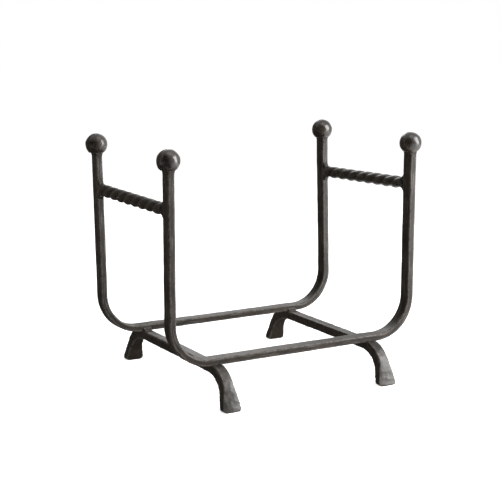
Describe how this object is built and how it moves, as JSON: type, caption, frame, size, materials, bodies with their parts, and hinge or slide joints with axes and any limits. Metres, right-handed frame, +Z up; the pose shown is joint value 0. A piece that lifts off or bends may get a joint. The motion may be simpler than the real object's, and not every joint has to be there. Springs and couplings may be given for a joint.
{
  "type": "log holder",
  "caption": "Small forged log holder: two U-shaped hoops on foot bars with curved flared feet, joined by a rope-twist rail at each side, with ball finials.",
  "frame": {"origin": "on the floor, under the middle of the holder", "axes": "+X along the width of the hoops, +Y from the front hoop to the rear hoop, +Z up"},
  "size_m": [0.4624, 0.3712, 0.3952],
  "materials": {
    "forged_bar": "hammered bar, dark bronze-black, satin lacquer",
    "forged_foot": "hammered and peened foot, dark bronze-black, satin lacquer",
    "twisted_bar": "twisted bar, dark bronze-black, satin lacquer",
    "forged_ball": "lightly planished ball, dark bronze-black, semi-gloss lacquer",
    "weld_bead": "dressed weld under the same dark lacquer"
  },
  "bodies": {
    "root": {"front_hoop": "forged_bar", "rear_hoop": "forged_bar", "left_foot_bar": "forged_foot", "left_twisted_rail": "twisted_bar", "right_foot_bar": "forged_foot", "right_twisted_rail": "twisted_bar", "front_left_ball": "forged_ball", "front_left_neck_weld": "weld_bead", "front_left_rail_weld": "weld_bead", "front_left_seat_weld": "weld_bead", "rear_left_ball": "forged_ball", "rear_left_neck_weld": "weld_bead", "rear_left_rail_weld": "weld_bead", "rear_left_seat_weld": "weld_bead", "front_right_ball": "forged_ball", "front_right_neck_weld": "weld_bead", "front_right_rail_weld": "weld_bead", "front_right_seat_weld": "weld_bead", "rear_right_ball": "forged_ball", "rear_right_neck_weld": "weld_bead", "rear_right_rail_weld": "weld_bead", "rear_right_seat_weld": "weld_bead"}
  },
  "joints": []
}
